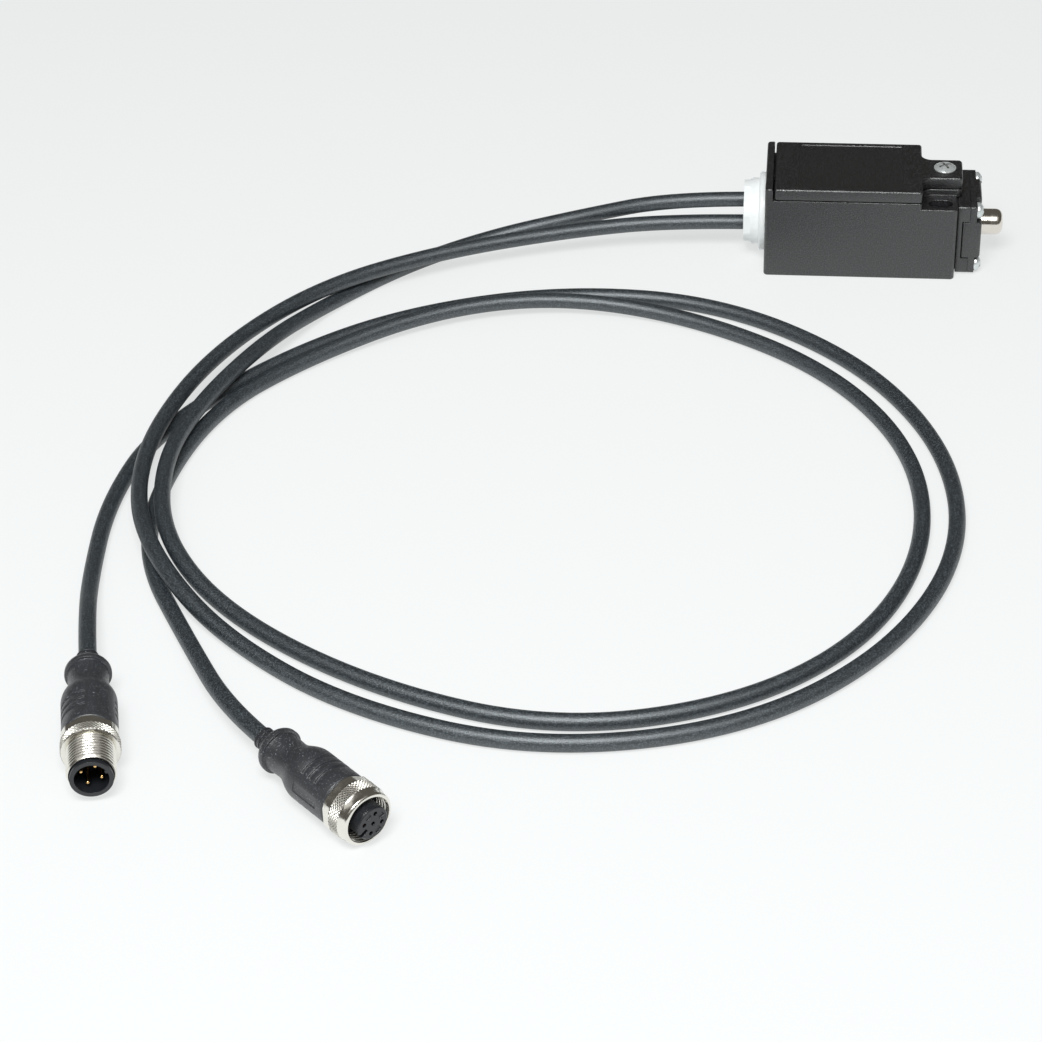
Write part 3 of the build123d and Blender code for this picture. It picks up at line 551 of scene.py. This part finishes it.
# Contact carriers: hard dark plastic, moulded as a cup round four pins for the one plug and as a core
# with holes for five sockets for the other. The contacts are turned, gold plated and moulded in.
carrier, carrier_shader = finish("dark contact carrier", (0.013, 0.015, 0.018), roughness=0.32)
carrier_shader.inputs["Specular IOR Level"].default_value = 0.6
raise_grain(carrier, carrier_shader, noise_over(carrier, scale=2500), depth=0.00003, rounded=0.0002)
dress(carrier, "male_insert", "female_insert")
gold = grained("gold plating", (0.95, 0.62, 0.26), roughness=0.2, grain=3000, depth=0.000004, metallic=1.0)
dress(gold, "male_pins", "female_contacts")

# Coupling nuts: nickel plated brass, turned, with six flats, a diamond knurl and an M12 thread of 1 mm
# pitch, outside on the one and inside the smooth collar of the other. They turn on the contact carriers.
nickel, nickel_shader = finish("nickel plating", (0.7, 0.68, 0.62), roughness=0.17, metallic=1.0)
nickel_nodes, nickel_link = nickel.node_tree.nodes, nickel.node_tree.links.new
# Each point's pit value, deepest in the knurl's pits and the thread's roots, paints the nickel darker
# there, nearly black: painted shade. The same value makes these hollows rougher.
pit = nickel_nodes.new("ShaderNodeAttribute")
pit.attribute_name = "pit"
nickel_unshaded, nickel_pit_shade = (0.84, 0.82, 0.76), (0.05, 0.044, 0.038)
nickel_colour = nickel_shader.inputs["Base Color"]
shade_between(nickel, nickel_colour, pit.outputs["Fac"], nickel_unshaded, nickel_pit_shade, start=0.32, end=0.85)
pit_roughness, roughest = 1.7, 0.42
cut, cut_most, rougher = (nickel_nodes.new("ShaderNodeMath") for _ in range(3))
cut.operation, cut_most.operation, rougher.operation = "MULTIPLY", "MINIMUM", "MAXIMUM"
cut.inputs[1].default_value = pit_roughness
cut_most.inputs[1].default_value = roughest
nickel_link(pit.outputs["Fac"], cut.inputs[0])
nickel_link(cut.outputs["Value"], cut_most.inputs[0])
nickel_link(cut_most.outputs["Value"], rougher.inputs[0])
shade_between(nickel, rougher.inputs[1], noise_over(nickel, scale=700), 0.12, 0.26)
nickel_link(rougher.outputs["Value"], nickel_shader.inputs["Roughness"])
raise_grain(nickel, nickel_shader, noise_over(nickel, scale=2600), depth=0.000004)

nut_rear, flats_end = 0.0275, 0.03
nut_radius, nut_flat_radius = 0.00725, 0.0069
nut_chamfer, nut_step = 0.0003, 0.0008
knurl_row, knurl_depth, knurl_steps = 0.00082, 0.00034, 8
# ridge_pit and root_pit set how much painted shade and roughness the knurl's ridges and the thread's roots
# get.
knurl_brim, ridge_pit = 0.001, 0.25
thread_pitch, thread_steps, thread_inset = 0.001, 12, 0.0004
fade_length, fade_gap, root_pit = 0.0007, 0.0001, 0.9


def knurl(shape, x0, x1, rows):
    """A diamond knurl: a grid wrapped round the axis, with a net of round ridges and a pit in each mesh."""
    columns = turn_steps // 2
    pits = shape.verts.layers.float["pit"]
    grid = bmesh.ops.create_grid(
        shape, x_segments=rows * knurl_steps, y_segments=columns * knurl_steps, size=1
    )
    for point in grid["verts"]:
        along, turn = (point.co.x + 1) / 2, math.pi * (point.co.y + 1)
        row_wave, column_wave = rows * 2 * math.pi * along, columns * turn
        ridge = max(math.cos(row_wave + column_wave), math.cos(row_wave - column_wave))
        depth = knurl_depth * (1 - ridge) / 2
        if along < knurl_brim or along > 1 - knurl_brim:
            depth = knurl_depth / 2
        radius = nut_radius - depth
        point.co = (x0 + (x1 - x0) * along, radius * math.cos(turn), radius * math.sin(turn))
        # The pit value grows with depth, for the painted shade and roughness in the knurl's pits.
        point[pits] = ridge_pit + (1 - ridge_pit) * depth / knurl_depth


def thread(shape, x0, x1, crest, root):
    """A rolled thread with round crests from x0 to x1, which fades into its root at x1."""
    pits = shape.verts.layers.float["pit"]
    turns = math.ceil((x1 - x0) / thread_pitch) + 2
    middle, swing = (crest + root) / 2, (crest - root) / 2
    outline = []
    for step in range(thread_steps * turns):
        radius = middle + swing * math.cos(2 * math.pi * step / thread_steps)
        outline.append((x0 + thread_pitch * (step / thread_steps - 1.5), radius))
    points = [shape.verts.new((x, radius, 0)) for x, radius in outline]
    edges = [shape.edges.new(pair) for pair in zip(points, points[1:])]
    bmesh.ops.spin(
        shape,
        geom=points + edges,
        cent=(0, 0, 0),
        axis=(1, 0, 0),
        dvec=(thread_pitch / turn_steps, 0, 0),
        angle=2 * math.pi,
        steps=turn_steps,
    )
    bmesh.ops.remove_doubles(shape, verts=shape.verts, dist=weld)
    for point in shape.verts:
        radius = math.hypot(point.co.y, point.co.z)
        left = min(1, max(0, (x1 - fade_gap - point.co.x) / fade_length))
        allowed = root + (crest - root) * left
        # The pit value grows towards the root, for the painted shade and roughness in the thread's roots.
        point[pits] = root_pit * ((crest - radius) / (crest - root)) ** 2
        if (radius > allowed) == (crest > root) and radius != allowed:
            point.co.yz = point.co.yz * (allowed / radius)
    for x, normal in ((x0, (-1, 0, 0)), (x1, (1, 0, 0))):
        bmesh.ops.bisect_plane(
            shape,
            geom=shape.verts[:] + shape.edges[:] + shape.faces[:],
            plane_co=(x, 0, 0),
            plane_no=normal,
            clear_outer=True,
        )


def flatten(shape):
    """Six flats on the rear of a nut."""
    for point in shape.verts:
        if point.co.x < flats_end + weld:
            radius = math.hypot(point.co.y, point.co.z)
            turn = math.degrees(math.atan2(point.co.z, point.co.y))
            off = (turn + 30) % 60 - 30
            allowed = nut_flat_radius / math.cos(math.radians(off))
            if radius > allowed:
                point.co.yz = point.co.yz * (allowed / radius)


def coupling_nut(node, rear, heading, band_end, front, bore, crest, root):
    """A coupling nut in its place: rear with flats, knurl, the outline of its front, and its thread."""
    outside = crest > root
    nut_front = front[-1][0]
    spiral = bmesh.new()
    spiral.verts.layers.float.new("pit")
    thread(spiral, band_end - thread_inset if outside else flats_end, nut_front, crest, root)
    threads = bpy.data.meshes.new("threads")
    spiral.to_mesh(threads)
    spiral.free()

    nut = bmesh.new()
    nut.verts.layers.float.new("pit")
    rear_face = [(nut_rear, bore), (nut_rear, nut_flat_radius - nut_chamfer)]
    lathe(nut, [*rear_face, (nut_rear + nut_chamfer, nut_radius), (flats_end, nut_radius)])
    flatten(nut)
    lathe(nut, [(flats_end, nut_radius - nut_step), (flats_end, nut_radius - knurl_depth / 2)])
    knurl(nut, flats_end, band_end, round((band_end - flats_end) / knurl_row))
    lathe(nut, [(band_end, nut_radius - knurl_depth / 2), *front])
    lathe(nut, [(nut_front, bore), (nut_rear, bore)] if outside else [(flats_end, root), (flats_end, bore)])
    nut.from_mesh(threads)
    bmesh.ops.remove_doubles(nut, verts=nut.verts, dist=weld)
    bmesh.ops.recalc_face_normals(nut, faces=nut.faces)
    in_line(nut, rear, heading)
    stand(nut, node + "_turned", nickel, "nickel", node, node)


neck_radius = 0.0054
coupling_nut(
    "male_nut",
    male_route[-1],
    male_heading,
    band_end=0.0326,
    front=[(0.0329, 0.00695), (0.0329, neck_radius), (0.0415, neck_radius)],
    bore=0.00525,
    crest=0.00597,
    root=0.00545,
)
lip_centre, lip_radius, lip_round = 0.0352, 0.0062, 0.0007
lip = []
for step in range(7):
    turn = math.radians(15 * step)
    lip.append((lip_centre + lip_round * math.sin(turn), lip_radius + lip_round * math.cos(turn)))
coupling_nut(
    "female_nut",
    female_route[-1],
    female_heading,
    band_end=0.0333,
    front=[(0.0333, 0.00715), (0.0338, 0.0069), *lip, (0.0359, 0.0060)],
    bore=0.0049,
    crest=0.0056,
    root=0.0060,
)
